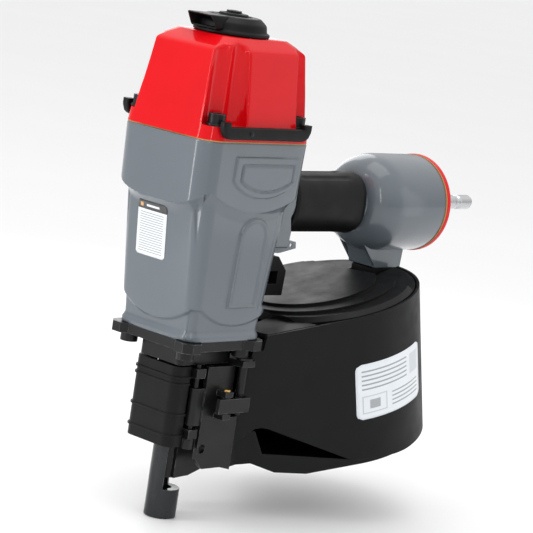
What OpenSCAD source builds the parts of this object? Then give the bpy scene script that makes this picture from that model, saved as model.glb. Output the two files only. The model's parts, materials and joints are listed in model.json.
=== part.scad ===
// Coil nailer: a compressed-air nail gun fed from a drum of wire-collated nails.
// Frame: the drive axis is +Z, the origin is the centre of the muzzle's bottom face,
// the handle points along +X and the loading side of the magazine faces -Y.

/* [Housing] */
// Height of the housing's underside above the muzzle
housing_z = 142; // [141:0.5:143]
// Height of the joint between housing and head cap
gasket_z = 290; // [288:1:292]
// Radius of the cylinder bore
bore_r = 28; // [27:0.5:28.5]
// Height of the handle's centre line
handle_z = 239; // [238:1:240]
// Radius of the rear air chamber
chamber_r = 38.3; // [37:0.1:40]
// Where the rear air chamber ends, measured from the drive axis
chamber_x = 234; // [230:1:240]
// Length of the air inlet from the end cap's boss to its tip
inlet_len = 53; // [45:1:60]

/* [Head cap] */
// Height of the head cap's top face
cap_top_z = 362.5; // [360:0.5:364]
// Half the distance between cap bolts, front to back
cap_bolt_x = 42; // [41:0.5:43]
// Half the distance between cap bolts, side to side
cap_bolt_y = 43.5; // [43:0.5:44]

/* [Nose] */
// Outer radius of the contact tip
tip_r = 12; // [11.5:0.1:12.5]
// Radius of the hole that the nail leaves through
muzzle_r = 6; // [5:0.1:7]
// Travel of the contact arm
arm_travel = 8; // [6:1:8]
// Radius of the driver blade
blade_r = 3.4; // [3:0.1:3.5]

/* [Magazine] */
// Radius of the drum
mag_r = 76; // [75:0.5:76.5]
// Height of the drum's walls at its axis
mag_h = 116.5; // [114:0.5:118]
// Lean of the drum, the angle of the wire-collated strip
mag_tilt = 16; // [15:0.5:17]

/* [Hidden] */
$fn = 64;

casting_grey = "#6c7680";
paint_red = "#e3182a";
black = "#202124";
dark_steel = "#3a3b3e";
steel = "#b9bcc0";

// Running clearance of a pin in its bore, and the larger gap between sliding curved faces
run_gap = 0.05;
slide_gap = 0.3;
// Where the drum stands: centre of its floor, and the slope of its top towards the far side
mag_at = [172, -4, 57];
lid_slope = 4;
// Rear air chamber: where its dome starts and where it is full size
dome_x0 = 160;
dome_x1 = 188;
chamber_wall = 4.3;
// Trigger group: pivot of the trigger and of its tongue, and the valve's axis
trigger_pivot = [53, 0, 209.5];
tongue_pivot = [84, 0, 208];
valve_x = 66;
// Contact arm rod, which stands behind the housing
rod_x = 60;
rod_r = 4;
rod_top = 205.6;
// Feed door hinge axis and latch axis
door_pivot = [-7, -24];
latch_pivot = [15, -35];
post_at = [31.5, -33];
// Feed cylinder axis
feed_y = 23;
feed_z = 88;
pawl_pivot = [22, 16];
// Head cap heights
flange_top = 301;
valve_bore_r = 35.3;
liner_r = bore_r + 2.5;
liner_top = 284;
piston_z = 262;
// Hinge of the magazine cover, in the drum's own frame
cover_hinge_a = -9;
cover_hinge_r = mag_r + 3.5;
wall_t = 2.5;
// Throat between nose and drum: points of its two walls, in the drum's own frame
near_front = [-122, -22];
far_front = [-90, 17];
throat_front = -150;
// Underside of the throat, seen from the side
throat_line = [[38, 39.3], [60, 42.8], [79, 36.6], [102, 37]];
// Bolt that holds the drum to the handle's bracket, and the height of that joint
lug_x = 200;
lug_z = 187.6;

function polar(r, a) = [r * cos(a), r * sin(a)];
function arc(c, r, a0, a1, n = 12) = [for (i = [0:n]) c + polar(r, a0 + (a1 - a0) * i / n)];
// Angle at which a line from point p touches the circle of radius r round the origin
function touch_angle(p, r, side) = atan2(p[1], p[0]) + side * acos(r / norm(p));

// Four thin upright posts at the corners of a rounded plate, for hulls
module corners(x0, x1, half_y, r, z, h = 0.1)
    for (x = [x0 + r, x1 - r], y = [-half_y + r, half_y - r])
        translate([x, y, z]) cylinder(r = r, h = h, $fn = 32);

// Flat plate with rounded corners, exact arcs
module plate(x0, x1, half_y, r, z, h) translate([0, 0, z]) linear_extrude(h) rounded(x0, x1, half_y, r);
module rounded(x0, x1, half_y, r) {
    translate([x0 + r, -half_y]) square([x1 - x0 - 2 * r, 2 * half_y]);
    translate([x0, -half_y + r]) square([x1 - x0, 2 * half_y - 2 * r]);
    for (x = [x0 + r, x1 - r], y = [-half_y + r, half_y - r]) translate([x, y]) circle(r);
}
module at_corners(dx, dy) for (x = [-dx, dx], y = [-dy, dy]) translate([x, y, 0]) children();
module ring(r_out, r_in, z, h)
    translate([0, 0, z]) difference() {
        cylinder(r = r_out, h = h);
        translate([0, 0, -1]) cylinder(r = r_in, h = h + 2);
    }
module along_x(x, y, z) translate([x, y, z]) rotate([0, 90, 0]) children();
module across_y(x, z, w) translate([x, w / 2, z]) rotate([90, 0, 0]) linear_extrude(w) children();
module in_drum() translate(mag_at) rotate([0, -mag_tilt, 0]) children();
// Everything below the drum's sloping top, moved by d
module below_lid(d = 0) translate([0, 0, mag_h + d]) rotate([-lid_slope, 0, 0])
    translate([-220, -150, -220]) cube([400, 300, 220]);
module on_hinge(z) rotate([0, 0, cover_hinge_a]) translate([cover_hinge_r, 0, z]) children();
// Socket-head bolt with its seat at z = 0 and its shank below
module socket_bolt(shank_r, shank, head_r, head_h) difference() {
    union() {
        translate([0, 0, -shank]) cylinder(r = shank_r, h = shank);
        cylinder(r = head_r, h = head_h);
    }
    translate([0, 0, head_h / 2]) cylinder(r = head_r * 0.55, h = head_h, $fn = 6);
}

// ---- housing ----

module chamber_shape(r, x0, x1, x2, neck)
    rotate([0, 90, 0]) rotate_extrude()
        polygon(concat([[0, x0], [neck, x0]],
            [for (i = [0:10]) [neck + (r - neck) * sin(i * 9), x0 + (x1 - x0) * (1 - cos(i * 9))]],
            [[r, x2], [0, x2]]));

module bracket_shape()
    polygon(concat([[150, 222]], arc([138, 176], 48, 62, 14, 8), [[221, 187.6], [222, 204], [222, 215]]));

module trigger_root() {
    translate([0, 0, 216]) linear_extrude(44) rounded(36, 77, 20, 6);
    for (s = [-1, 1]) translate([46, s * 17.5 - 2.5, 207]) cube([30, 5, 12]);
}

module main_housing() color(casting_grey) difference() {
    union() {
        hull() {
            corners(-35, 39.5, 38.5, 10, housing_z);
            corners(-37.5, 42.5, 40, 10, 165);
        }
        hull() {
            corners(-36.5, 41.5, 38.8, 10, 160);
            corners(-47.5, 50.5, 43, 13, 254);
        }
        hull() {
            corners(-48, 51, 43.5, 13, 240);
            corners(-52.5, 54.5, 46, 14, 252);
            corners(-53.6, 56, 46.6, 14, gasket_z - 0.1);
        }
        along_x(40, 0, handle_z) cylinder(r = 18, h = dome_x1 - 40);
        translate([0, 0, handle_z]) chamber_shape(chamber_r, dome_x0, dome_x1, chamber_x, 20);
        across_y(0, 0, 24) bracket_shape();
        trigger_root();
    }
    // Cylinder bore: lower guide, return-air chamber and upper air chamber
    translate([0, 0, housing_z - 1]) cylinder(r = liner_r + 0.1, h = 30);
    translate([0, 0, 160]) cylinder(r = 34.8, h = 60);
    translate([0, 0, 219]) cylinder(r = 38, h = gasket_z);
    // Air passage through the handle, and the rear chamber's hollow
    along_x(30, 0, handle_z + 3) cylinder(r = 11, h = 150);
    translate([0, 0, handle_z])
        chamber_shape(chamber_r - chamber_wall, dome_x0 + 8, dome_x1 + 3, chamber_x + 1, 11);
    // Trigger valve seat, trigger pin and cap bolt holes
    translate([valve_x, 0, 200]) cylinder(r = 8.1, h = 33);
    translate([55.5, -6, 205]) cube([24, 12, 14.5]);
    across_y(trigger_pivot[0], trigger_pivot[2], 50) circle(2 + 0.02);
    at_corners(cap_bolt_x, cap_bolt_y - 5) translate([0, 0, gasket_z - 24]) cylinder(r = 3.1, h = 30);
    at_corners(29, 29.5) translate([0, 0, housing_z - 1]) cylinder(r = 3.1, h = 19);
    // Screw holes for the magazine lug and the arm guide
    translate([lug_x, 0, 180]) cylinder(r = 3.1, h = 22);
    for (y = [-9, 9]) along_x(36, y, 174) cylinder(r = 2.1, h = 20);
}

module chamber_bosses_at() for (a = [45:90:315]) rotate([a, 0, 0]) translate([0, 0, 29]) children();

module grip_sleeve() color(black) difference() {
    hull() {
        for (s = [-1, 1]) {
            along_x(79, 0, handle_z + s * 3) cylinder(r = 19.8, h = 59, $fn = 32);
            along_x(160, 0, handle_z + s * 4.4) cylinder(r = 21.4, h = 15, $fn = 32);
            along_x(175, 0, handle_z + s * 4) cylinder(r = 18.5, h = 4, $fn = 32);
        }
    }
    along_x(70, 0, handle_z) cylinder(r = 18.05, h = 95);
    translate([0, 0, handle_z]) chamber_shape(chamber_r + 0.1, dome_x0 - 0.1, dome_x1, chamber_x, 20.1);
    across_y(0, 0, 24.2) bracket_shape();
}

module end_cap_gasket() color("#b98f58") difference() {
    along_x(chamber_x, 0, handle_z) ring(chamber_r, 25, 0, 1);
    translate([chamber_x - 1, 0, handle_z]) chamber_bosses_at() rotate([0, 90, 0]) cylinder(r = 2.6, h = 4);
}

module end_cap() color(paint_red) difference() {
    union() {
        along_x(chamber_x + 1, 0, handle_z) cylinder(r = chamber_r + 0.4, h = 4);
        along_x(chamber_x + 4, 0, handle_z) cylinder(r1 = 20, r2 = 15, h = 6);
        along_x(chamber_x + 9, 0, handle_z) cylinder(r = 14, h = 13);
    }
    along_x(chamber_x, 0, handle_z) cylinder(r = 6.5, h = 30);
    translate([chamber_x, 0, handle_z]) chamber_bosses_at() rotate([0, 90, 0]) cylinder(r = 2.6, h = 8);
}

module end_cap_screws() color(dark_steel)
    translate([chamber_x + 5, 0, handle_z]) chamber_bosses_at()
        rotate([0, 90, 0]) socket_bolt(2.5, 14, 4.4, 4);

module air_plug() color(steel) difference() {
    union() {
        along_x(chamber_x + 10, 0, handle_z) cylinder(r = 6.45, h = 13);
        along_x(chamber_x + 22, 0, handle_z) cylinder(r = 9.5, h = 9, $fn = 6);
        along_x(chamber_x + 31, 0, handle_z) rotate_extrude()
            polygon([[0, 0], [5.9, 0], [5.9, inlet_len - 31], [4.7, inlet_len - 29], [4.7, inlet_len - 26],
                [5.9, inlet_len - 24], [5.9, inlet_len - 11], [5, inlet_len - 9], [0, inlet_len - 9]]);
    }
    along_x(chamber_x + 5, 0, handle_z) cylinder(r = 3.5, h = 90);
}

// ---- head ----

module head_gasket() color("#c79a5b") difference() {
    plate(-53.6, 56, 46.6, 14, gasket_z, 1);
    translate([0, 0, gasket_z - 1]) cylinder(r = 38, h = 4);
    at_corners(cap_bolt_x, cap_bolt_y - 5) translate([0, 0, gasket_z - 1]) cylinder(r = 3.2, h = 4);
}

module head_cap() color(paint_red) difference() {
    union() {
        hull() {
            corners(-53.6, 56, 46.6, 14, gasket_z + 1);
            corners(-52.5, 55, 45.5, 13, flange_top);
        }
        hull() {
            corners(-52, 54.5, 45, 12, flange_top - 3);
            corners(-45, 49, 38.5, 10, 353);
            corners(-31, 34, 29, 10, cap_top_z - 0.1);
        }
    }
    // Bolt recesses in the four corners, and the bolt holes
    at_corners(cap_bolt_x, cap_bolt_y - 5) {
        translate([0, 0, flange_top]) cylinder(r = 8.5, h = 60);
        translate([0, 0, gasket_z]) cylinder(r = 3.2, h = 40);
    }
    // Bore of the head valve and the exhaust passage
    translate([0, 0, gasket_z]) cylinder(r = valve_bore_r, h = 38);
    translate([0, 0, gasket_z]) cylinder(r = 14, h = 60);
    translate([0, 0, gasket_z]) cylinder(r = 3.1, h = 80);
    for (a = [30:60:330]) rotate([0, 0, a]) translate([18.5, 0, gasket_z]) cylinder(r = 3.6, h = 80);
}

module cap_bolts() color(dark_steel)
    at_corners(cap_bolt_x, cap_bolt_y - 5)
        translate([0, 0, flange_top + 1.6]) socket_bolt(3, 33, 6.3, 7);

module cap_washers() color(dark_steel) at_corners(cap_bolt_x, cap_bolt_y - 5) ring(7.5, 3.1, flange_top, 1.6);

// Rubber bumper bar along one side of the head, with turned-up ends at the bolts
module guard(side) color(black) scale([1, side, 1]) translate([0, 0, gasket_z + 3]) difference() {
    union() {
        translate([-cap_bolt_x - 6, 46.9, 0]) cube([2 * cap_bolt_x + 9, 6, 9]);
        for (x = [-cap_bolt_x - 6, cap_bolt_x - 5]) translate([x, 46.9, 0]) cube([8, 6, 12.5]);
    }
    translate([-cap_bolt_x + 23, 50, 4.5]) rotate([-90, 0, 0]) cylinder(r = 1.6, h = 4);
}
module guard_left() guard(-1);
module guard_right() guard(1);

module exhaust_deflector() color(black) difference() {
    union() {
        translate([0, 0, cap_top_z + slide_gap]) cylinder(r = 28, h = 3);
        translate([0, 0, cap_top_z + 3]) cylinder(r1 = 26.5, r2 = 20, h = 10.5);
        translate([0, 0, cap_top_z + 13]) cylinder(r = 10, h = 2.6);
        across_y(0, 0, 25) polygon([[-36, cap_top_z + 13.3], [-29, cap_top_z + 3], [0, cap_top_z + 3],
            [0, cap_top_z + 13.3]]);
    }
    // Hollow inside, and the mouth of the spout
    translate([0, 0, cap_top_z - 1]) cylinder(r = 23, h = 5);
    translate([0, 0, cap_top_z + 3]) cylinder(r1 = 23, r2 = 17.5, h = 8);
    translate([-50, -10.8, cap_top_z + 4.8]) cube([42, 21.6, 6.8]);
    translate([0, 0, cap_top_z - 1]) cylinder(r = 3 + run_gap, h = 30);
    translate([0, 0, cap_top_z + 13.4]) cylinder(r = 6.5, h = 10);
}

module deflector_screw() color(dark_steel) translate([0, 0, cap_top_z + 13.6]) socket_bolt(3, 26, 5.6, 3.4);

module head_valve() color("#d9d4c6") difference() {
    union() {
        translate([0, 0, liner_top + 3.2]) cylinder(r = valve_bore_r - slide_gap, h = 10);
        translate([0, 0, liner_top + 3.2]) cylinder(r = 17, h = 22);
    }
    translate([0, 0, liner_top + 2]) cylinder(r = 12, h = 30);
}
module head_valve_seal() color(black) ring(33, 24, liner_top + 0.2, 3);
// Coil spring between the head valve and the cap
module head_valve_spring() color(steel) for (i = [0:4])
    translate([0, 0, liner_top + 14.5 + i * 4.5]) rotate_extrude() translate([26, 0]) circle(1.2);

module cylinder_liner() color(steel) difference() {
    union() {
        ring(liner_r, bore_r, housing_z + 4, liner_top - housing_z - 4);
        ring(liner_r + 1.5, bore_r, liner_top - 5, 5);
    }
    for (a = [0:45:315]) rotate([0, 0, a]) translate([20, 0, 190]) rotate([0, 90, 0]) cylinder(r = 2, h = 20);
}
module cylinder_collar() color(black) ring(34.7, liner_r + 0.05, 212, 5.9);

module drive_piston() color("#9fa3a8") difference() {
    union() {
        translate([0, 0, piston_z]) cylinder(r = bore_r - 0.4, h = 14);
        translate([0, 0, piston_z - 5]) cylinder(r = 9, h = 6);
    }
    ring(bore_r + 1, bore_r - 3, piston_z + 5, 4);
    translate([0, 0, piston_z - 6]) cylinder(r = blade_r, h = 14);
    translate([0, 0, piston_z + 11]) cylinder(r = 17, h = 6);
}
module piston_ring() color(black) ring(bore_r - slide_gap, bore_r - 3 + 0.05, piston_z + 5.1, 3.8);
module driver_blade() color(steel) translate([0, 0, 101]) cylinder(r = blade_r, h = piston_z - 95);

module bumper() color("#b8782f") difference() {
    union() {
        translate([0, 0, housing_z + 0.1]) cylinder(r = bore_r + 2.4, h = 3.8);
        translate([0, 0, housing_z]) cylinder(r = bore_r - 0.2, h = 19);
    }
    translate([0, 0, housing_z - 1]) cylinder(r = blade_r + 1.5, h = 40);
}

// ---- nose ----

module nose_base() color(dark_steel) difference() {
    union() {
        plate(-36, 40, 37, 9, 134.5, 7.4);
        for (x = [-31, 33], y = [-33, 33]) translate([x, y, 134.5]) rotate([0, 0, 22.5])
            cylinder(r = 10.4, h = 7.4, $fn = 8);
        plate(-25, 30, 22, 5, 121, 14);
        translate([-13, -14, 66]) cube([22, 26, 56]);
        translate([0, 0, 31]) cylinder(r = 8.7, h = 36);
        // Fixed wall of the feed channel
        translate([14.5, 7.5, 41]) cube([27.5, 4, 81]);
        translate([8, 7.5, 70]) cube([10, 4, 52]);
        // Lower cheek at the loading side
        translate([0, -7.5, 0]) rotate([90, 0, 0]) linear_extrude(4)
            polygon([[-3, 31.5], [12, 32.5], [29, 38], [41, 38], [41, 66.5], [-3, 66.5]]);
        // Ears for the door's hinge rod, and the arm that holds the latch post
        for (z = [66, 112]) translate([-11.5, -28, z]) cube([9, 16, 7]);
        translate([25, -38, 121]) cube([13, 28, 4.5]);
    }
    translate([0, 0, 30]) cylinder(r = 5.7, h = 74);
    translate([0, 0, 100]) cylinder(r = blade_r + slide_gap, h = 45);
    // Slot that the nail strip comes in through
    translate([0, -5.7, 30]) cube([30, 11.4, 74]);
    // Window that the feed pawl works through
    translate([12, 5, 81]) cube([24, 10, 14]);
    translate([door_pivot[0], door_pivot[1], 60]) cylinder(r = 2.02, h = 70);
    translate([post_at[0], post_at[1], 110]) cylinder(r = 3.52, h = 30);
    at_corners(29, 29.5) translate([0, 0, 130]) cylinder(r = 3.2, h = 20);
}

module nose_bolts() color(dark_steel)
    at_corners(29, 29.5) translate([0, 0, 134.5]) rotate([180, 0, 0]) socket_bolt(3, 24, 6.5, 6.5);

module nose_cover() color(black) difference() {
    union() {
        plate(-27.5, -1.5, 23, 8, 59.5, 60.5);
        for (z = [67, 83, 106, 111]) plate(-28.5, -1.5, 24, 8.5, z, 1.6);
    }
    translate([0, 0, 58]) linear_extrude(60) rounded(-24.5, 20, 20, 5);
    translate([-24.5, -14.5, 58]) cube([40, 27, 70]);
    // Room for the hinge rod at the loading side
    translate([-13, -40, 50]) cube([30, 25, 80]);
    translate([-5, 0, 50]) cube([30, 40, 80]);
}

module door_hinge_rod() color(dark_steel) {
    translate([door_pivot[0], door_pivot[1], 60]) cylinder(r = 2, h = 62);
    translate([door_pivot[0], door_pivot[1], 58]) cylinder(r = 4.2, h = 7.6, $fn = 6);
}

module feed_door() color(dark_steel) difference() {
    union() {
        translate([0, 0, 76]) translate([door_pivot[0], door_pivot[1], 0]) cylinder(r = 4, h = 28);
        translate([door_pivot[0], -28, 76]) cube([12, 4, 28]);
        // Outer plate and the inner pad that guides the nails
        translate([0, -25.5, 0]) rotate([90, 0, 0]) linear_extrude(3.5)
            polygon([[-1, 120.5], [27.4, 120.5], [27.4, 81], [37, 81], [37, 40], [26, 42.5], [7, 42.5], [-1, 50]]);
        translate([15, -26, 68]) cube([20, 18.3, 13]);
        translate([15, -26, 68]) cube([9.4, 18.3, 48]);
        // Ears for the latch pin
        for (z = [82, 99]) translate([latch_pivot[0] - 4, latch_pivot[1] - 3.5, z]) cube([8, 11, 4]);
    }
    translate([door_pivot[0], door_pivot[1], 70]) cylinder(r = 2 + run_gap, h = 40);
    translate([latch_pivot[0], latch_pivot[1], 78]) cylinder(r = 1.52, h = 30);
    translate([4, -27, 58]) rotate([90, 0, 0]) cylinder(r = 3.4, h = 10, center = true);
}

module latch_post() color(dark_steel) translate([post_at[0], post_at[1], 0]) {
    translate([0, 0, 84]) cylinder(r = 2.6, h = 20);
    translate([0, 0, 100]) cylinder(r = 3.5, h = 26);
    translate([0, 0, 125.6]) cylinder(r = 6.3, h = 2.2);
}

module door_latch() color("#5a5c60") difference() {
    union() {
        translate([latch_pivot[0], latch_pivot[1], 86.3]) cylinder(r = 3.6, h = 12.4);
        translate([latch_pivot[0] - 10, latch_pivot[1] - 4.2, 87]) cube([32, 3, 11]);
        translate([latch_pivot[0] + 19.8, latch_pivot[1] - 4.2, 87]) cube([2.6, 6.6, 11]);
    }
    translate([latch_pivot[0], latch_pivot[1], 80]) cylinder(r = 1.5 + run_gap, h = 30);
}
module latch_pin() color("#b08d3f") {
    translate([latch_pivot[0], latch_pivot[1], 82]) cylinder(r = 1.5, h = 21);
    translate([latch_pivot[0], latch_pivot[1], 103]) cylinder(r = 2.8, h = 1.6);
}

module contact_tip() color(dark_steel) difference() {
    cylinder(r = tip_r, h = 56);
    translate([0, 0, -1]) cylinder(r = muzzle_r, h = 30);
    translate([0, 0, 22]) cylinder(r = 8.7 + slide_gap, h = 40);
    // Open side that lets the strip through
    translate([0, 0, 22]) linear_extrude(40) wedge(-138, 27, 30);
}

module contact_arm() color(dark_steel) {
    // Foot that grips the tip, and the flat bar round the feed cylinder
    difference() {
        union() {
            translate([0, 0, 32]) linear_extrude(16)
                polygon([[2, 9.5], [13.5, 9.5], [13.5, 12.4], [26, 27], [26, 30], [14, 30], [2, 14]]);
            translate([14, 27, 32]) cube([12, 3, 84]);
            translate([14, 27, 105]) cube([52, 3, 11]);
            translate([54, 27, 105]) cube([12, 3, 33]);
            translate([54, -6, 128]) cube([12, 36, 10]);
        }
        translate([0, 0, 30]) cylinder(r = tip_r, h = 20);
    }
    translate([rod_x, 0, 136]) cylinder(r = rod_r, h = rod_top - 136);
}
// Return spring round the arm's rod
module arm_spring() color(steel) for (i = [0:5])
    translate([rod_x, 0, 148.5 + i * 3.8]) rotate_extrude() translate([6.2, 0]) circle(0.9);

module arm_guide() color(black) difference() {
    across_y(0, 0, 27) polygon([[38, 170], [83, 169], [84, 188], [74, 199], [38, 199]]);
    translate([rod_x, 0, 160]) cylinder(r = rod_r + slide_gap, h = 50);
    // Window for the thumbwheel, open on both sides
    translate([rod_x - 14.9, -20, 178]) cube([30, 40, 10]);
    for (y = [-9, 9]) along_x(36, y, 174) cylinder(r = 2.1, h = 20);
    across_y(0, 0, 40) polygon([[30, 150], [40.6, 150], [46.4, 210], [30, 210]]);
}
module adjuster_wheel() color(dark_steel) translate([rod_x, 0, 178.4]) difference() {
    union() {
        cylinder(r = 13.3, h = 9.2);
        for (a = [0:20:340]) rotate([0, 0, a]) translate([13.3, 0, 0.8]) cylinder(r = 1.1, h = 7.6);
    }
    translate([0, 0, -1]) cylinder(r = rod_r + slide_gap, h = 12);
}

// ---- trigger group ----

module trigger_outline() {
    translate([trigger_pivot[0], trigger_pivot[2]]) circle(4);
    polygon(concat([[51, 213], [49.4, 208], [54, 205.5]], arc([70, 226], 24, 222, 285, 8),
        [[90, 205.5], [89, 210.5], [60, 213]]));
}
module trigger() color(casting_grey) difference() {
    across_y(0, 0, 29) trigger_outline();
    // Pocket for the tongue, open below where the arm's rod comes up
    translate([57.5, -8, 205.6]) cube([31, 16, 20]);
    translate([54.5, -5, 190]) cube([11, 10, 40]);
    across_y(trigger_pivot[0], trigger_pivot[2], 50) circle(2 + run_gap);
    across_y(tongue_pivot[0], tongue_pivot[2], 50) circle(1.52);
}
module trigger_pin() color(steel) across_y(trigger_pivot[0], trigger_pivot[2], 39) circle(2);
module trigger_tongue() color(steel) difference() {
    union() {
        across_y(tongue_pivot[0], tongue_pivot[2], 12) circle(2.3);
        translate([58, -4, 207.2]) cube([26, 8, 1.6]);
    }
    across_y(tongue_pivot[0], tongue_pivot[2], 50) circle(1.5 + run_gap);
}
module tongue_pin() color(steel) across_y(tongue_pivot[0], tongue_pivot[2], 28) circle(1.5);

module valve_body() color("#a9adb2") difference() {
    translate([valve_x, 0, 218.2]) cylinder(r = 8, h = 14.5);
    translate([valve_x, 0, 210]) cylinder(r = 2.5 + run_gap, h = 10);
    translate([valve_x, 0, 219]) cylinder(r = 5.3, h = 15);
}
module valve_stem() color(steel) {
    translate([valve_x, 0, 216]) cylinder(r = 2.5, h = 10);
    translate([valve_x, 0, 223]) cylinder(r = 5, h = 4);
}

// ---- nail feed ----

module feed_cylinder() color(dark_steel) difference() {
    union() {
        along_x(36, feed_y, feed_z) cylinder(r = 11, h = 32);
        translate([36, 11.5, 80]) cube([5.5, 6, 16]);
    }
    along_x(38.5, feed_y, feed_z) cylinder(r = 8.5, h = 26);
    along_x(30, feed_y, feed_z) cylinder(r = 3 + slide_gap, h = 10);
}
module feed_piston() color(steel) difference() {
    union() {
        along_x(39, feed_y, feed_z) cylinder(r = 8.5 - slide_gap, h = 8);
        along_x(24, feed_y, feed_z) cylinder(r = 3, h = 16);
        translate([18, 13, feed_z - 6]) cube([9, 13, 12]);
    }
    translate([pawl_pivot[0], pawl_pivot[1], feed_z - 10]) cylinder(r = 1.52, h = 20);
    translate([10, 5, feed_z - 3.2]) cube([30, 14.5, 6.4]);
}
module feed_pawl() color(dark_steel) difference() {
    union() {
        translate([pawl_pivot[0], pawl_pivot[1], feed_z - 2.9]) cylinder(r = 3.2, h = 5.8);
        translate([0, 0, feed_z - 2.9]) linear_extrude(5.8)
            polygon([[19, 14], [15.4, 7], [17.4, 7], [24, 14]]);
    }
    translate([pawl_pivot[0], pawl_pivot[1], feed_z - 10]) cylinder(r = 1.5 + run_gap, h = 20);
}
module pawl_pin() color(steel)
    translate([pawl_pivot[0], pawl_pivot[1], feed_z - 6]) cylinder(r = 1.5, h = 12);

// ---- magazine, in the drum's own frame ----

near_touch = touch_angle(near_front, mag_r, 1);
far_touch = touch_angle(far_front, mag_r, -1);
// Outline of the whole magazine floor: drum and throat, moved in by d
module floor_outline(d = 0) polygon(concat(
    arc([0, 0], mag_r - d, near_touch, far_touch, 64),
    [[far_front[0], far_front[1] - d], [throat_front, far_front[1] - d],
    [throat_front, near_front[1] + d], [near_front[0], near_front[1] + d]]));
// Wedge of the plane between two angles
module wedge(a0, a1, r = 260) polygon(concat([[0, 0]], arc([0, 0], r, a0, a1, 10)));
// Everything behind the nose, which ends the throat
module behind_nose(x = 43, top = 400) translate([x, -150, -20]) cube([300, 300, top]);

// Everything under the throat's underside
module under_throat() across_y(0, 0, 300)
    polygon(concat([[-20, -60], [-20, 39.3]], throat_line, [[102, -60]]));

module magazine_body() color(black) {
    difference() {
        intersection() {
            union() {
                difference() {
                    in_drum() union() {
                        // Floor with a rim that rises along the throat, and the fixed wall on the far side
                        linear_extrude(3.5) floor_outline(2.6);
                        intersection() {
                            linear_extrude(60) intersection() {
                                difference() {
                                    floor_outline(2.6);
                                    floor_outline(2.6 + wall_t);
                                }
                                wedge(-180, -4, 200);
                            }
                            across_y(0, 0, 300) polygon([[-200, -10], [90, -10], [90, 5.3], [-41, 5.3],
                                [-103, 23.2], [-107, 43], [-200, 43]]);
                        }
                        intersection() {
                            linear_extrude(mag_h + 20) intersection() {
                                difference() {
                                    floor_outline(0);
                                    floor_outline(wall_t + 0.4);
                                }
                                wedge(-8, 174);
                            }
                            below_lid();
                        }
                        linear_extrude(4) intersection() {
                            floor_outline(0);
                            wedge(-8, 174);
                        }
                        // Lug under the handle's bracket, and the boss of the post
                        translate([38, -10, mag_h - 10]) cube([35, 26, 8]);
                        cylinder(r = 9, h = 8);
                    }
                    translate([0, 0, 1]) under_throat();
                }
                // Bent floor of the throat
                intersection() {
                    in_drum() translate([0, 0, -60]) linear_extrude(200) floor_outline(2.6);
                    across_y(0, 0, 300) polygon(concat(throat_line,
                        [[112, 39.9], [112, 43], [101, 40.6], [80, 40.4], [61, 46.5], [38, 43]]));
                }
                translate([188, -12.5, 178]) cube([36, 23, lug_z - 178]);
                // Ears for the cover's hinge pin
                in_drum() for (z = [4, 46, 92]) on_hinge(z) {
                    cylinder(r = 3.4, h = 14);
                    translate([-4.5, 0, 0]) cube([5, 10, 14]);
                }
            }
            behind_nose(42.2);
        }
        in_drum() on_hinge(-5) cylinder(r = 2.02, h = 150);
        in_drum() translate([0, 0, -1]) cylinder(r = 5.02, h = 12);
        // Room for the flange, the contact arm and the bracket, and the lug's bolt hole
        translate([0, -200, 133]) cube([46, 400, 80]);
        translate([0, -20, 122]) cube([78, 200, 100]);
        translate([150, -16, lug_z]) cube([80, 32, 40]);
        translate([lug_x, 0, 150]) cylinder(r = 3.2, h = 80);
        translate([lug_x, 0, 150]) cylinder(r = 6, h = 29.2);
        along_x(30, feed_y, feed_z) cylinder(r = 11.4, h = 42);
    }
}

module magazine_top_cap() color(black) in_drum() difference() {
    translate([0, 0, mag_h]) rotate([-lid_slope, 0, 0]) difference() {
        union() {
            intersection() {
                translate([0, 0, -4]) cylinder(r = mag_r - wall_t - 0.9, h = 4);
                translate([-64, -100, -5]) cube([200, 200, 8]);
            }
            // Near half of the throat's roof
            translate([0, 0, -3.5]) linear_extrude(3.5) intersection() {
                floor_outline(wall_t + 0.9);
                translate([-94, -80]) square([34, 74]);
            }
            intersection() {
                union() {
                    cylinder(r1 = mag_r - 4, r2 = mag_r - 8, h = 3);
                    translate([-2, 4, 2.9]) cylinder(r = 62, h = 2.3);
                    translate([-4, 9, 5.1]) cylinder(r = 52, h = 2.2);
                }
                translate([-64, -100, -5]) cube([100, 200, 50]);
            }
        }
        translate([-4, 7, -6]) cylinder(r = 50, h = 6.6);
        translate([-6, 11, 0]) cylinder(r = 39, h = 4.6);
    }
    translate([35, -12, mag_h - 11]) cube([60, 30, 30]);
}

module magazine_cover() color(black) intersection() {
    difference() {
        in_drum() difference() {
            union() {
                intersection() {
                    linear_extrude(mag_h + 20) difference() {
                        intersection() {
                            floor_outline(0);
                            union() {
                                wedge(-163, cover_hinge_a - 1);
                                translate([-160, -80]) square([100, 69.5]);
                            }
                        }
                        floor_outline(wall_t - 0.3);
                    }
                    below_lid();
                }
                // Knuckles on the hinge pin
                for (z = [18.5, 60.5]) on_hinge(z) {
                    cylinder(r = 3.4, h = z > 50 ? 31 : 27);
                    translate([-5.5, -9, 0]) cube([5.5, 9, z > 50 ? 31 : 27]);
                }
            }
            on_hinge(-5) cylinder(r = 2 + run_gap, h = 150);
            // Raised lower edge towards the nose, above the floor
            rotate([90, 0, 0]) linear_extrude(120) polygon([[-200, -5], [8, -5], [8, 0.4], [-2, 1],
                [-41, 5.4], [-99, 43.5], [-104, 45.8], [-109, 45.8], [-114, 42.5], [-200, 1]]);
            translate([-200, -100, -1]) cube([400, 200, 1.4]);
        }
        translate([0, 0, -0.5]) under_throat();
        translate([0, -200, 133]) cube([46, 400, 80]);
    }
    behind_nose(38.6);
}

module magazine_hinge_pin() color(steel) in_drum() on_hinge(3) {
        cylinder(r = 2, h = 104);
        translate([0, 0, 103.3]) cylinder(r = 3.2, h = 1.5);
    }

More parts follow.
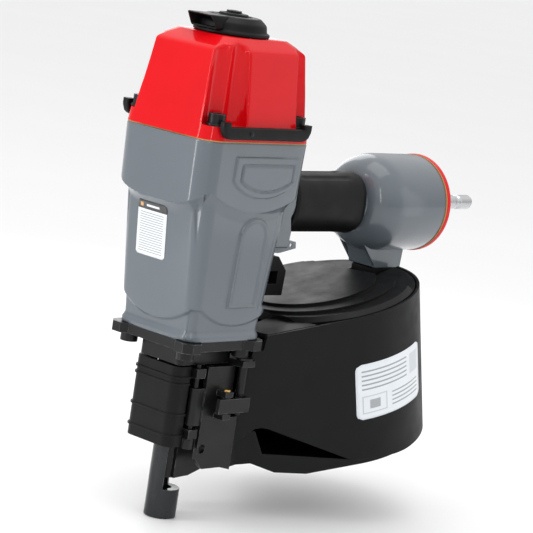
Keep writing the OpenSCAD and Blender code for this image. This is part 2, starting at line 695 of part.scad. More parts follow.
module support_post() color(steel) in_drum() translate([0, 0, 0.5]) cylinder(r = 5, h = 88);
module nail_support() color("#26272a") in_drum() difference() {
    union() {
        translate([0, 0, 14]) cylinder(r = 58, h = 3);
        translate([0, 0, 14]) cylinder(r = 9, h = 16);
        for (a = [0:60:300]) rotate([0, 0, a]) translate([8, -1, 16]) cube([46, 2, 4]);
    }
    translate([0, 0, 10]) cylinder(r = 5 + run_gap, h = 30);
}
module magazine_bolt() color(dark_steel) translate([lug_x, 0, 179.2]) rotate([180, 0, 0])
    socket_bolt(3, 20, 5.2, 5);

main_housing();
grip_sleeve();
head_gasket();
head_cap();
cap_bolts();
cap_washers();
guard_left();
guard_right();
exhaust_deflector();
deflector_screw();
head_valve();
head_valve_seal();
head_valve_spring();
cylinder_liner();
cylinder_collar();
drive_piston();
piston_ring();
driver_blade();
bumper();
nose_base();
nose_bolts();
nose_cover();
door_hinge_rod();
feed_door();
latch_post();
door_latch();
latch_pin();
contact_tip();
contact_arm();
arm_spring();
arm_guide();
adjuster_wheel();
trigger();
trigger_pin();
trigger_tongue();
tongue_pin();
valve_body();
valve_stem();
feed_cylinder();
feed_piston();
feed_pawl();
pawl_pin();
end_cap_gasket();
end_cap();
end_cap_screws();
air_plug();
magazine_body();
magazine_top_cap();
magazine_cover();
magazine_hinge_pin();
nail_support();
support_post();
magazine_bolt();
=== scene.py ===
import json
import math
import bpy
import bmesh
import numpy as np
from mathutils import Matrix, Vector


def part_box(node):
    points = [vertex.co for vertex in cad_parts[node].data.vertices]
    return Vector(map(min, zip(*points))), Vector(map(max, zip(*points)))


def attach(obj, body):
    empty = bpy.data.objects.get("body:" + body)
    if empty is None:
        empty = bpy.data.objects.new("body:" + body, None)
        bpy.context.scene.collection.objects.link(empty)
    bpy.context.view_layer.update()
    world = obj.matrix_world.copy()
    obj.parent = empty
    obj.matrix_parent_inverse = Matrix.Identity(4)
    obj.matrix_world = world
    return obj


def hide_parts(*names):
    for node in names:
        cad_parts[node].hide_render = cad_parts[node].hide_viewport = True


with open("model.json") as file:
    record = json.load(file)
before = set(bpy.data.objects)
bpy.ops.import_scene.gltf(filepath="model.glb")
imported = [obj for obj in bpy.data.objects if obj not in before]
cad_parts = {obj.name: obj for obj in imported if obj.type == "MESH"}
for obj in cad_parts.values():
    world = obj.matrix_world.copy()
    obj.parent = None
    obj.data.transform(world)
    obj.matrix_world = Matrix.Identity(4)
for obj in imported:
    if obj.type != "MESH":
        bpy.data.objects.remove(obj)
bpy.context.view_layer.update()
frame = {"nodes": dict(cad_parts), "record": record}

scene = bpy.context.scene
NODES = frame["nodes"]
RECORD = frame["record"]
BODY_OF = {n: b for b, ns in RECORD["behaviour"]["bodies"].items() for n in ns}
SLOT_OF = {s["node"]: s["material_slot"] for s in RECORD["subparts"]}
MM = 0.001
TAU = 2 * math.pi
MID_X = 1.5  # middle of the housing and the cap in X, in mm

# ---------------------------------------------------------------- camera

SENSOR_MM, FOCAL_PX, IMAGE_PX = 36.0, 2500, 533
AZ, EL, ROLL = math.radians(48.14), math.radians(9.16), math.radians(-8.75)
TARGET, DIST = Vector((0.07648, 0.0, 0.18841)), 1.89428
fwd = Vector((math.sin(AZ) * math.cos(EL), math.cos(AZ) * math.cos(EL), -math.sin(EL)))
right0 = fwd.cross(Vector((0, 0, 1))).normalized()
down0 = fwd.cross(right0)
right = right0 * math.cos(ROLL) + down0 * math.sin(ROLL)
down = -right0 * math.sin(ROLL) + down0 * math.cos(ROLL)
cam_data = bpy.data.cameras.new("camera")
cam = bpy.data.objects.new("camera", cam_data)
scene.collection.objects.link(cam)
cam_data.sensor_width = SENSOR_MM
cam_data.lens = SENSOR_MM * FOCAL_PX / IMAGE_PX
cam_data.clip_start, cam_data.clip_end = 0.05, 60
cam.matrix_world = Matrix(((right.x, -down.x, -fwd.x, 0), (right.y, -down.y, -fwd.y, 0),
                           (right.z, -down.z, -fwd.z, 0), (0, 0, 0, 1)))
cam.location = TARGET - fwd * DIST
scene.camera = cam

# ---------------------------------------------------------------- materials


class Nodes:
    """A small helper that builds a node tree."""

    def __init__(self, name):
        self.mat = bpy.data.materials.new(name)
        self.mat.use_nodes = True
        self.nt = self.mat.node_tree
        self.nt.nodes.clear()
        self.out = self.add("ShaderNodeOutputMaterial")
        self.bsdf = self.add("ShaderNodeBsdfPrincipled")
        self.link(self.bsdf.outputs["BSDF"], self.out.inputs["Surface"])
        self.coord = self.add("ShaderNodeTexCoord").outputs["Object"]

    def add(self, kind, **props):
        n = self.nt.nodes.new(kind)
        for k, v in props.items():
            setattr(n, k, v)
        return n

    def link(self, a, b):
        self.nt.links.new(a, b)

    def noise(self, scale, detail=3.0, rough=0.55, stretch=None):
        n = self.add("ShaderNodeTexNoise")
        n.inputs["Scale"].default_value = scale
        n.inputs["Detail"].default_value = detail
        n.inputs["Roughness"].default_value = rough
        src = self.coord
        if stretch:
            m = self.add("ShaderNodeMapping")
            m.inputs["Scale"].default_value = stretch
            self.link(src, m.inputs["Vector"])
            src = m.outputs["Vector"]
        self.link(src, n.inputs["Vector"])
        return n.outputs["Fac"]

    def ranged(self, fac, a, b, lo=0.3, hi=0.7):
        n = self.add("ShaderNodeMapRange")
        n.inputs["From Min"].default_value = lo
        n.inputs["From Max"].default_value = hi
        n.inputs["To Min"].default_value = a
        n.inputs["To Max"].default_value = b
        self.link(fac, n.inputs["Value"])
        return n.outputs["Result"]

    def mixed(self, fac, a, b):
        n = self.add("ShaderNodeMix", data_type="RGBA")
        for socket, value in ((n.inputs[6], a), (n.inputs[7], b)):
            if isinstance(value, tuple):
                socket.default_value = (*value, 1)
            else:
                self.link(value, socket)
        self.link(fac, n.inputs[0])
        return n.outputs[2]

    def math(self, op, a, b):
        n = self.add("ShaderNodeMath", operation=op)
        for s, v in ((n.inputs[0], a), (n.inputs[1], b)):
            if isinstance(v, (int, float)):
                s.default_value = v
            else:
                self.link(v, s)
        return n.outputs[0]

    def edges(self, radius):
        """1 along convex edges, 0 elsewhere."""
        bev = self.add("ShaderNodeBevel", samples=4)
        bev.inputs["Radius"].default_value = radius
        geo = self.add("ShaderNodeNewGeometry")
        dot = self.add("ShaderNodeVectorMath", operation="DOT_PRODUCT")
        self.link(bev.outputs["Normal"], dot.inputs[0])
        self.link(geo.outputs["Normal"], dot.inputs[1])
        n = self.add("ShaderNodeMapRange")
        n.inputs["From Min"].default_value = 0.965
        n.inputs["From Max"].default_value = 0.80
        self.link(dot.outputs["Value"], n.inputs["Value"])
        return n.outputs["Result"]

    def bump(self, fac, strength, distance):
        n = self.add("ShaderNodeBump")
        n.inputs["Strength"].default_value = strength
        n.inputs["Distance"].default_value = distance
        self.link(fac, n.inputs["Height"])
        return n.outputs["Normal"]


WORN_EDGE = 0.0007  # metres


def tint(c, k):
    return tuple(min(1.0, v * k) for v in c)


def finish(name, color, rough, metal=0.0, coat=0.0, coat_rough=0.06, spec=0.5, vary=0.06,
           rough_vary=0.06, grain=900, grain_depth=0.00002, grain_strength=0.4, wear=None,
           wear_amount=0.0, wear_rough=0.35, stretch=None):
    """Mottled colour with fine grain, uneven gloss, and rubbed edges where wear gives their colour."""
    m = Nodes(name)
    b = m.bsdf
    b.inputs["Metallic"].default_value = metal
    b.inputs["Coat Weight"].default_value = coat
    b.inputs["Coat Roughness"].default_value = coat_rough
    b.inputs["Specular IOR Level"].default_value = spec
    large = m.noise(22, 4)
    small = m.noise(grain, 2, stretch=stretch)
    col = m.mixed(m.ranged(large, 0, 1), tint(color, 1 - vary), tint(color, 1 + vary))
    col = m.mixed(m.ranged(small, 0, 0.35), col, tint(color, 1 - 1.6 * vary))
    rough_node = m.ranged(m.noise(60, 4), rough - rough_vary, rough + rough_vary)
    if wear:
        patches = m.ranged(m.noise(140, 5, 0.7), 0, wear_amount, 0.42, 0.62)
        mask = m.math("MULTIPLY", m.edges(WORN_EDGE), patches)
        col = m.mixed(mask, col, wear)
        n = m.add("ShaderNodeMix", data_type="FLOAT")
        m.link(mask, n.inputs[0])
        m.link(rough_node, n.inputs[2])
        n.inputs[3].default_value = wear_rough
        rough_node = n.outputs[0]
    m.link(col, b.inputs["Base Color"])
    m.link(rough_node, b.inputs["Roughness"])
    m.link(m.bump(small, grain_strength, grain_depth), b.inputs["Normal"])
    if coat:
        m.link(m.bump(m.noise(160, 2), 0.3, 0.000012), b.inputs["Coat Normal"])
    return m.mat


MATS = {
    "painted_casting": finish(
        "casting_paint", (0.118, 0.140, 0.160), 0.36, metal=0.05, coat=0.8, coat_rough=0.10, spec=0.2,
        vary=0.03, grain=1500, grain_depth=0.00001, wear=(0.42, 0.44, 0.46), wear_amount=0.45),
    "red_paint": finish(
        "red_paint", (0.66, 0.002, 0.006), 0.38, coat=0.5, spec=0.05, vary=0.04, grain=1500,
        grain_depth=0.00001, wear=(0.85, 0.22, 0.20), wear_amount=0.35),
    "black_plastic": finish(
        "black_plastic", (0.0050, 0.0052, 0.0056), 0.46, vary=0.12, grain=2600, spec=0.18,
        grain_depth=0.00003, grain_strength=0.5, rough_vary=0.07, wear=(0.060, 0.060, 0.063),
        wear_amount=0.5, wear_rough=0.3),
    "black_rubber": finish(
        "black_rubber", (0.0045, 0.0045, 0.0048), 0.46, vary=0.15, spec=0.2, grain=1900,
        grain_depth=0.00004, grain_strength=0.6, rough_vary=0.08, wear=(0.05, 0.05, 0.052),
        wear_amount=0.4, wear_rough=0.42),
    "black_steel": finish(
        "black_steel", (0.0080, 0.0082, 0.0088), 0.36, metal=0.15, spec=0.32, vary=0.15, grain=1700,
        grain_depth=0.00003, rough_vary=0.10, wear=(0.30, 0.30, 0.31), wear_amount=0.8,
        wear_rough=0.25),
    "bright_steel": finish(
        "bright_steel", (0.55, 0.56, 0.57), 0.24, metal=1.0, vary=0.05, grain=900, grain_depth=0.00001,
        rough_vary=0.08, stretch=(0.08, 1, 1), wear=(0.75, 0.75, 0.76), wear_amount=0.6),
    "liner_alloy": finish(
        "liner_alloy", (0.60, 0.61, 0.62), 0.30, metal=1.0, vary=0.05, grain=900, grain_depth=0.00001,
        stretch=(1, 1, 0.1)),
    "gasket_paper": finish(
        "gasket_paper", (0.46, 0.27, 0.10), 0.8, vary=0.15, grain=2500, grain_depth=0.00006),
    "valve_plastic": finish("valve_plastic", (0.60, 0.56, 0.46), 0.45, vary=0.05, grain=1500),
    "bumper_rubber": finish("bumper_rubber", (0.36, 0.15, 0.03), 0.5, vary=0.08, grain=1500),
    "brass": finish("brass_pin", (0.62, 0.40, 0.13), 0.28, metal=1.0, vary=0.08, grain=1200),
}
TIP_STEEL = finish(
    "tip_steel", (0.040, 0.042, 0.045), 0.28, metal=0.8, vary=0.18, grain=700, grain_depth=0.00003,
    rough_vary=0.12, stretch=(1, 1, 0.12), wear=(0.45, 0.45, 0.46), wear_amount=0.8, wear_rough=0.2)


def label_finish(name, kind):
    """A blank plate: a band or a frame and rows of plain bars in place of any text."""
    m = Nodes(name)
    b = m.bsdf
    b.inputs["Coat Weight"].default_value = 0.5
    b.inputs["Coat Roughness"].default_value = 0.12
    uv = m.add("ShaderNodeUVMap", uv_map="plate").outputs["UV"]
    sep = m.add("ShaderNodeSeparateXYZ")
    m.link(uv, sep.inputs[0])
    u, v = sep.outputs[0], sep.outputs[1]
    white, ink, grey = (0.80, 0.84, 0.88), (0.012, 0.012, 0.013), (0.30, 0.32, 0.34)

    def box(u0, u1, v0, v1):
        r = m.math("MULTIPLY", m.math("GREATER_THAN", u, u0), m.math("LESS_THAN", u, u1))
        s = m.math("MULTIPLY", m.math("GREATER_THAN", v, v0), m.math("LESS_THAN", v, v1))
        return m.math("MULTIPLY", r, s)

    def bars(u0, u1, v0, v1, rows):
        saw = m.math("FRACT", m.math("MULTIPLY", m.math("SUBTRACT", v, v0), rows / (v1 - v0)), 0)
        on = m.math("MULTIPLY", m.math("GREATER_THAN", saw, 0.38), m.math("LESS_THAN", saw, 0.72))
        return m.math("MULTIPLY", on, box(u0, u1, v0, v1))

    if kind == "front":
        col = m.mixed(bars(0.09, 0.90, 0.05, 0.80, 17), white, grey)
        col = m.mixed(box(-1, 2, 0.84, 2), col, ink)
        col = m.mixed(box(0.30, 0.74, 0.895, 0.935), col, white)
        col = m.mixed(box(0.08, 0.18, 0.88, 0.95), col, (0.7, 0.35, 0.1))
    else:
        col = m.mixed(bars(0.07, 0.70, 0.50, 0.90, 5), white, grey)
        col = m.mixed(bars(0.45, 0.93, 0.10, 0.40, 4), col, grey)
        col = m.mixed(box(0.76, 0.94, 0.52, 0.88), col, (0.62, 0.66, 0.70))
        col = m.mixed(box(0.07, 0.38, 0.10, 0.42), col, (0.55, 0.58, 0.61))
        col = m.mixed(box(0.085, 0.365, 0.12, 0.40), col, white)
        col = m.mixed(box(0.16, 0.29, 0.18, 0.34), col, (0.36, 0.38, 0.40))
    dirt = m.ranged(m.noise(90, 4), 0.0, 0.10)
    m.link(m.mixed(dirt, col, (0.50, 0.52, 0.53)), b.inputs["Base Color"])
    m.link(m.ranged(m.noise(200, 3), 0.30, 0.42), b.inputs["Roughness"])
    m.link(m.bump(m.noise(700, 2), 0.2, 0.00002), b.inputs["Normal"])
    return m.mat


# ---------------------------------------------------------------- mesh helpers


def new_object(name, verts, faces, mat, smooth=True):
    me = bpy.data.meshes.new(name)
    me.from_pydata([tuple(v) for v in verts], [], [tuple(f) for f in faces])
    me.validate()
    me.materials.append(mat)
    if smooth:
        me.polygons.foreach_set("use_smooth", [True] * len(me.polygons))
    o = bpy.data.objects.new(name, me)
    scene.collection.objects.link(o)
    return o


def tidy_normals(o):
    bm = bmesh.new()
    bm.from_mesh(o.data)
    bmesh.ops.remove_doubles(bm, verts=bm.verts, dist=1e-6)
    bmesh.ops.recalc_face_normals(bm, faces=bm.faces)
    bm.to_mesh(o.data)
    bm.free()


def sharpen(o, angle=32):
    """Marks edges above the angle as sharp, so that smooth shading stops there."""
    bm = bmesh.new()
    bm.from_mesh(o.data)
    limit = math.radians(angle)
    for e in bm.edges:
        e.smooth = not (len(e.link_faces) == 2 and e.calc_face_angle(0) > limit)
    for f in bm.faces:
        f.smooth = True
    bm.to_mesh(o.data)
    bm.free()


def grid_faces(nv, nu, closed=True):
    """Quads between nv rows of nu points. Closed rows join their last point to their first."""
    faces = []
    for i in range(nv - 1):
        for j in range(nu if closed else nu - 1):
            a, b = i * nu + j, i * nu + (j + 1) % nu
            faces.append((a, b, b + nu, a + nu))
    return faces


def loft(name, P, mat, cap_start=True, cap_end=True, angle=38):
    """A skin through closed rows of points P[row][column], with a fan over each capped end."""
    P = np.asarray(P, float)
    nv, nu = P.shape[:2]
    verts = list(P.reshape(-1, 3))
    faces = grid_faces(nv, nu)
    for row, use in ((0, cap_start), (nv - 1, cap_end)):
        if use:
            verts.append(P[row].mean(axis=0))
            c = len(verts) - 1
            for j in range(nu):
                a, b = row * nu + j, row * nu + (j + 1) % nu
                faces.append((b, a, c) if row == 0 else (a, b, c))
    o = new_object(name, verts, faces, mat)
    tidy_normals(o)
    sharpen(o, angle)
    return o


def ride(o, node, replace=True):
    """Puts a piece on its node's body, in its node's place or beside it."""
    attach(o, BODY_OF[node])
    if replace:
        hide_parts(node)
    return o


def extra(o, node):
    return ride(o, node, False)


def revolve(name, profile, mat, axis="x", at=(0, 0, 0), n=128):
    """Turns (along, radius) points, in mm, round an axis through a place."""
    rows = []
    for s, r in profile:
        row = []
        for k in range(n):
            a = TAU * k / n
            c, d = r * math.cos(a), r * math.sin(a)
            p = (s, c, d) if axis == "x" else (c, d, s)
            row.append([(p[i] + at[i]) * MM for i in range(3)])
        rows.append(row)
    return loft(name, rows, mat)


def rounded(profile, r=0.6, n=4):
    """Rounds the corners of an open list of (along, radius) points."""
    pts = [profile[0]]
    for i in range(1, len(profile) - 1):
        a, b, c = (np.array(profile[i + k], float) for k in (-1, 0, 1))
        la, lc = np.linalg.norm(a - b), np.linalg.norm(c - b)
        t = min(r, la * 0.45, lc * 0.45)
        if t < 1e-6:
            pts.append(tuple(b))
            continue
        p, q = b + (a - b) / la * t, b + (c - b) / lc * t
        for k in range(n + 1):
            w = k / n
            pts.append(tuple((1 - w) ** 2 * p + 2 * w * (1 - w) * b + w * w * q))
    pts.append(profile[-1])
    return pts


def round_box(w, h, r, n=4):
    """Points of a rounded rectangle, w by h."""
    pts = []
    for sx, sy, a0 in ((1, 1, 0), (-1, 1, 90), (-1, -1, 180), (1, -1, 270)):
        cx, cy = sx * (w / 2 - r), sy * (h / 2 - r)
        for k in range(n + 1):
            a = math.radians(a0 + 90 * k / n)
            pts.append((cx + r * math.cos(a), cy + r * math.sin(a)))
    return pts


def refine(node, width, mat=None, segments=2):
    """A CAD node's own shape with its edges eased and smooth shading between them."""
    src = NODES[node]
    me = src.data.copy()
    me.name = "r_" + node
    o = bpy.data.objects.new("r_" + node, me)
    scene.collection.objects.link(o)
    me.materials.clear()
    me.materials.append(mat or MATS[SLOT_OF[node]])
    bm = bmesh.new()
    bm.from_mesh(me)
    bmesh.ops.remove_doubles(bm, verts=bm.verts, dist=2e-6)
    bmesh.ops.dissolve_limit(bm, angle_limit=math.radians(0.6), verts=bm.verts, edges=bm.edges)
    limit = math.radians(30)
    for f in bm.faces:
        f.smooth = True
        f.material_index = 0
    for e in bm.edges:
        e.smooth = not (len(e.link_faces) == 2 and e.calc_face_angle(0) > limit)
    bm.to_mesh(me)
    bm.free()
    if width:
        bev = o.modifiers.new("ease", "BEVEL")
        bev.width = width * MM
        bev.segments = segments
        bev.limit_method = "ANGLE"
        bev.angle_limit = limit
        bev.use_clamp_overlap = True
    wn = o.modifiers.new("normals", "WEIGHTED_NORMAL")
    wn.keep_sharp = True
    return ride(o, node)


def smooth(a, b, x):
    """0 at a, 1 at b, eased between them."""
    t = np.clip((x - a) / (b - a), 0, 1)
    return t * t * (3 - 2 * t)


def smax(a, b, k):
    """The larger of two values, blended where they differ by less than k."""
    h = np.clip(0.5 + 0.5 * (a - b) / k, 0, 1)
    return b + (a - b) * h + k * h * (1 - h)


def smin(a, b, k):
    return -smax(-a, -b, k)


def rect_sdf(x, y, x0, x1, y0, y1, r):
    """Distance outside a rectangle with rounded corners."""
    cx, cy, hx, hy = (x0 + x1) / 2, (y0 + y1) / 2, (x1 - x0) / 2 - r, (y1 - y0) / 2 - r
    qx, qy = np.abs(x - cx) - hx, np.abs(y - cy) - hy
    return np.hypot(np.maximum(qx, 0), np.maximum(qy, 0)) + np.minimum(np.maximum(qx, qy), 0) - r


def polar_rows(sdf, zs, thetas):
    """For each height, the points where rays from the casting's middle leave the shape."""
    T, Z = np.meshgrid(thetas, np.asarray(zs, float))
    ct, st = np.cos(T), np.sin(T)
    lo, hi = np.full(T.shape, 6.0), np.full(T.shape, 90.0)
    for _ in range(26):
        mid = (lo + hi) / 2
        inside = sdf(MID_X + mid * ct, mid * st, Z) < 0
        lo, hi = np.where(inside, mid, lo), np.where(inside, hi, mid)
    return np.stack([MID_X + lo * ct, lo * st, Z], -1) * MM


def even_angles(hx, hy, n):
    """Angles whose rays meet a rectangle at even steps of its outline."""
    s = (np.arange(n) + 0.5) / n * 4 * (hx + hy)
    corners = [0, 2 * hy, 2 * hy + 2 * hx, 4 * hy + 2 * hx, 4 * (hx + hy)]
    x = np.interp(s, corners, [hx, hx, -hx, -hx, hx])
    y = np.interp(s, corners, [-hy, hy, hy, -hy, -hy])
    return np.arctan2(y, x)


def lin(z, pts):
    """Straight lines through (z, value) points."""
    return np.interp(z, [p[0] for p in pts], [p[1] for p in pts])


def arc_pts(cx, cz, r, a0, a1, n):
    angles = [math.radians(a0 + (a1 - a0) * k / n) for k in range(n + 1)]
    return [(cx + r * math.cos(a), cz + r * math.sin(a)) for a in angles]


# ---------------------------------------------------------------- housing

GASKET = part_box("head_gasket")[0].z / MM
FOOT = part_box("main_housing")[0].z / MM
HANDLE_Z = 239.0


def band_edge(x, y):
    """Height of the shoulder's lower lip, which rises in an arc towards each corner."""
    on_x = np.abs(x - MID_X) / 52 > np.abs(y) / 45
    return np.where(on_x, 240.6 + 12.5 * np.clip(np.abs(y) / 46, 0, 1) ** 3.2,
                    239.2 + 13.0 * np.clip(np.abs(x - 5) / 47, 0, 1) ** 2.1)


def crown(offset, half_width):
    """1 in the middle of a face, falling to 0 at half_width from it."""
    return np.clip(1 - (offset / half_width) ** 2, 0, 1)


def body_sdf(x, y, z):
    """Distance outside the casting's outer skin, in mm."""
    # Tapered lower body, and the shoulder under the cap
    low_hy = lin(z, [(142, 38.5), (160, 39), (254, 43.2)])
    low = rect_sdf(x, y, lin(z, [(142, -35), (160, -37), (254, -47.2)]),
                   lin(z, [(142, 39.5), (160, 41.5), (254, 50.4)]), -low_hy, low_hy,
                   lin(z, [(142, 8), (165, 9), (240, 12)]))
    top_hy = lin(z, [(230, 45.5), (290, 46.6)])
    top = rect_sdf(x, y, lin(z, [(230, -51.9), (290, -53.6)]), lin(z, [(230, 53.8), (290, 56)]),
                   -top_hy, top_hy, 14.0)
    # The faces are slightly crowned
    front = x < MID_X
    on_x = np.abs(x - MID_X) / 46 > np.abs(y) / 42
    low = low - np.where(on_x, 2.2 * crown(y, 36), 0.5 * crown(x - 5, 40))
    top = top - np.where(on_x, 1.6 * crown(y, 46), 0.0)
    # Flutes at the corners between two creases that draw together towards the foot
    h = np.clip((z - 164) / 78, 0, 1)
    side = np.abs(y)
    crease_x = 40.5 - 8.0 * h
    edge_front = lin(z, [(164, -40.5), (244, -43.5)])
    past_edge = edge_front - x + 0.6 + 2.2 * (1 - h)
    flute = smooth(0, 1.2, side - crease_x) * smooth(0, 1.2, past_edge) * front
    edge_rear = lin(z, [(164, 29), (240, 34.5)])
    rear = smooth(0, 1.4, x - edge_rear) * smooth(0, 6, side - 30) * (~front)
    open_z = smooth(164.5, 169, z)
    low = low + (3.0 * flute + 1.8 * rear) * open_z
    # Arched plate on each side face
    px = x - 10.2
    arch = np.where(z > 220, np.hypot(px, (z - 220) * 0.98), np.abs(px)) - 14.6
    arch = np.maximum(arch, 167.6 - z)
    plate = smooth(0.4, -0.6, arch) * 1.9 - smooth(-2.4, -3.2, arch) * 0.7
    low = low - np.where(on_x, 0, plate)
    # Skirt: an arc below which the wall steps in
    arc = np.where(on_x, 154 + 11 * np.clip(np.abs(y) / 34, 0, 1.1) ** 2.2,
                   154.5 + 9.5 * np.clip(np.abs(x - 8) / 33, 0, 1.1) ** 2.2)
    low = low + 2.3 * smooth(0.8, -2.2, z - arc) * smooth(144.5, 150, z)
    # Raised badge frames, left blank
    outer_low = 262.5 - 12.5 * crown(x - 9, 33) ** 0.8
    badge = np.maximum(np.maximum(np.abs(x - 8.8) - 32.6, z - 280.0), outer_low - z)
    inner_low = 263.2 - 8.6 * crown(x - 10, 27) ** 0.8
    inner = np.maximum(np.maximum(np.abs(x - 10) - 27, z - 274.6), inner_low - z)
    top = top - np.where(on_x, 0, smooth(0.5, -0.5, badge) * 1.3 - smooth(0.9, 0.3, inner) * 0.9
                         + smooth(-0.7, -1.5, inner) * 1.1)
    # Shoulder: full above its lip, and a hollow run-out below it
    t = np.clip((z - band_edge(x, y) + 8.0) / 8.0, 0, 1)
    w = np.where(t >= 1, 1, 0.84 * t ** 1.7)
    return low * (1 - w) + top * w


def shrink(row, k):
    mid = MID_X * MM
    return np.stack([(row[:, 0] - mid) * k + mid, row[:, 1] * k, row[:, 2]], -1)


zs = np.concatenate([[FOOT + 0.001, FOOT + 0.6], np.arange(FOOT + 1.2, GASKET - 1.0, 0.7),
                     [GASKET - 0.6, GASKET - 0.02]])
rows = polar_rows(body_sdf, zs, even_angles(48, 42, 470))
rows[0], rows[-1] = shrink(rows[0], 0.985), shrink(rows[-1], 0.992)
grey = MATS["painted_casting"]
ride(loft("housing_body", rows, grey, angle=50), "main_housing")

# Rear air chamber and the neck under the grip
dome = [(150, 17.5), (158, 18)]
for a in range(0, 91, 6):
    dome.append((160 + 27 * (1 - math.cos(math.radians(a))), 19 + 19.3 * math.sin(math.radians(a))))
dome += [(231.5, 38.3), (233.2, 38.0), (233.98, 37.2)]
ride(revolve("air_chamber", dome, grey, at=(0, 0, HANDLE_Z), n=160), "main_housing")
ride(revolve("handle_neck", [(38, 17.6), (90, 17.6)], grey, at=(0, 0, HANDLE_Z), n=96), "main_housing")


def profile_block(name, outline, width, mat, node, ease=1.2, at=0.0):
    """An outline in X and Z, extruded along Y about `at` and eased along its edges, in mm."""
    n = len(outline)
    a = [(x * MM, (at - width / 2) * MM, z * MM) for x, z in outline]
    b = [(x * MM, (at + width / 2) * MM, z * MM) for x, z in outline]
    faces = [tuple(range(n)), tuple(range(2 * n - 1, n - 1, -1))]
    faces += [(j, j + n, (j + 1) % n + n, (j + 1) % n) for j in range(n)]
    o = new_object(name, a + b, faces, mat, smooth=False)
    tidy_normals(o)
    bev = o.modifiers.new("ease", "BEVEL")
    bev.width, bev.segments = ease * MM, 3
    bev.limit_method, bev.angle_limit = "ANGLE", math.radians(28)
    for p in o.data.polygons:
        p.use_smooth = True
    o.modifiers.new("normals", "WEIGHTED_NORMAL").keep_sharp = True
    return ride(o, node)


BRACKET_FOOT_Z = 187.6
bracket = [(150, 224), (150, 221)] + arc_pts(138, 176, 48, 62, 16, 12)
bracket += [(190, BRACKET_FOOT_Z), (221, BRACKET_FOOT_Z), (222, 204), (222, 212), (200, 216)]
rib = [(168, 210), (184.5, 192.5), (187, 190), (187, 204), (178, 212)]
ear = [(40, 259), (40, 212), (46.5, 207), (75.5, 207), (76.5, 219), (74, 230), (77, 238), (77, 258)]
profile_block("chamber_bracket", bracket, 23.6, grey, "main_housing")
for s in (-1, 1):
    profile_block("bracket_rib_%d" % (s > 0), rib, 1.8, grey, "main_housing", ease=0.5, at=s * 12.4)
    profile_block("trigger_ear_%d" % (s > 0), ear, 5, grey, "main_housing", ease=1.4, at=s * 17.5)
root = [(36, 258), (36, 219.5), (52, 216), (56, 219.8), (77, 219.8), (77, 258)]
profile_block("trigger_root", root, 32, grey, "main_housing", ease=2.0)

# Grip sleeve: oval sections with shallow flutes and a rolled rear edge
grip_lo, grip_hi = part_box("grip_sleeve")
gx0, gx1 = grip_lo.x / MM, grip_hi.x / MM
GRIP_FLUTES = (58, 90, 122, 238, 270, 302)  # degrees round the handle


def grip_row(x, inset, flute):
    """One section: half width and half height follow the handle, less the inset."""
    u = np.linspace(0, TAU, 180, endpoint=False)
    hw = np.interp(x, [78, 138, 165, 176], [20.0, 20.4, 21.2, 21.0]) - inset
    hh = np.interp(x, [78, 138, 165, 176], [22.8, 23.2, 25.2, 25.4]) - inset
    c, s = np.cos(u), np.sin(u)
    e = 2.35  # a little squarer than an ellipse
    k = (np.abs(c) ** e + np.abs(s) ** e) ** (-1 / e)
    groove = 0.0
    for centre in GRIP_FLUTES:
        a = np.degrees((u - math.radians(centre) + math.pi) % TAU - math.pi)
        groove = groove + smooth(6.5, 3.0, np.abs(a))
    k = k - flute * 0.035 * np.clip(groove, 0, 1)
    return np.stack([np.full_like(u, x), hw * k * c, HANDLE_Z + hh * k * s], -1) * MM


roll = gx1 - 9  # where the rear edge starts to roll in
xs = np.concatenate([[gx0 + 0.1], np.linspace(gx0 + 0.4, gx0 + 3, 4), np.linspace(gx0 + 5, roll, 60),
                     roll + 8.9 * np.sin(np.linspace(0.08, 1, 12) * math.pi / 2)])
rows = []
for x in xs:
    front_in = 2.0 * (1 - min(1, (x - gx0) / 2.5)) ** 2
    t = max(0.0, (x - roll) / 9)
    back_in = 7.5 * (1 - math.sqrt(max(0.0, 1 - t * t)))
    flute = smooth(gx0 + 6, gx0 + 14, x) * smooth(gx1 - 14, gx1 - 24, x)
    rows.append(grip_row(x, front_in + back_in, float(flute)))
ride(loft("grip", rows, MATS["black_rubber"], angle=60), "grip_sleeve")

# End cap with its rolled red rim, and the boss that holds the plug
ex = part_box("end_cap")[0].x / MM
rim = [(ex, 30), (ex, 38.7), (ex + 4, 38.7), (ex + 4, 33), (ex + 3.2, 32), (ex + 3.2, 21),
       (ex + 8.5, 16), (ex + 8.5, 14), (ex + 17, 14), (ex + 17, 7)]
ride(revolve("end_rim", rounded(rim, 0.8), MATS["red_paint"], at=(0, 0, HANDLE_Z), n=160), "end_cap")

# ---------------------------------------------------------------- head cap

CAP_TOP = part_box("head_cap")[1].z / MM
CAP_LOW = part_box("head_cap")[0].z / MM
LEDGE = 301.0  # top of the flange that the bolts clamp


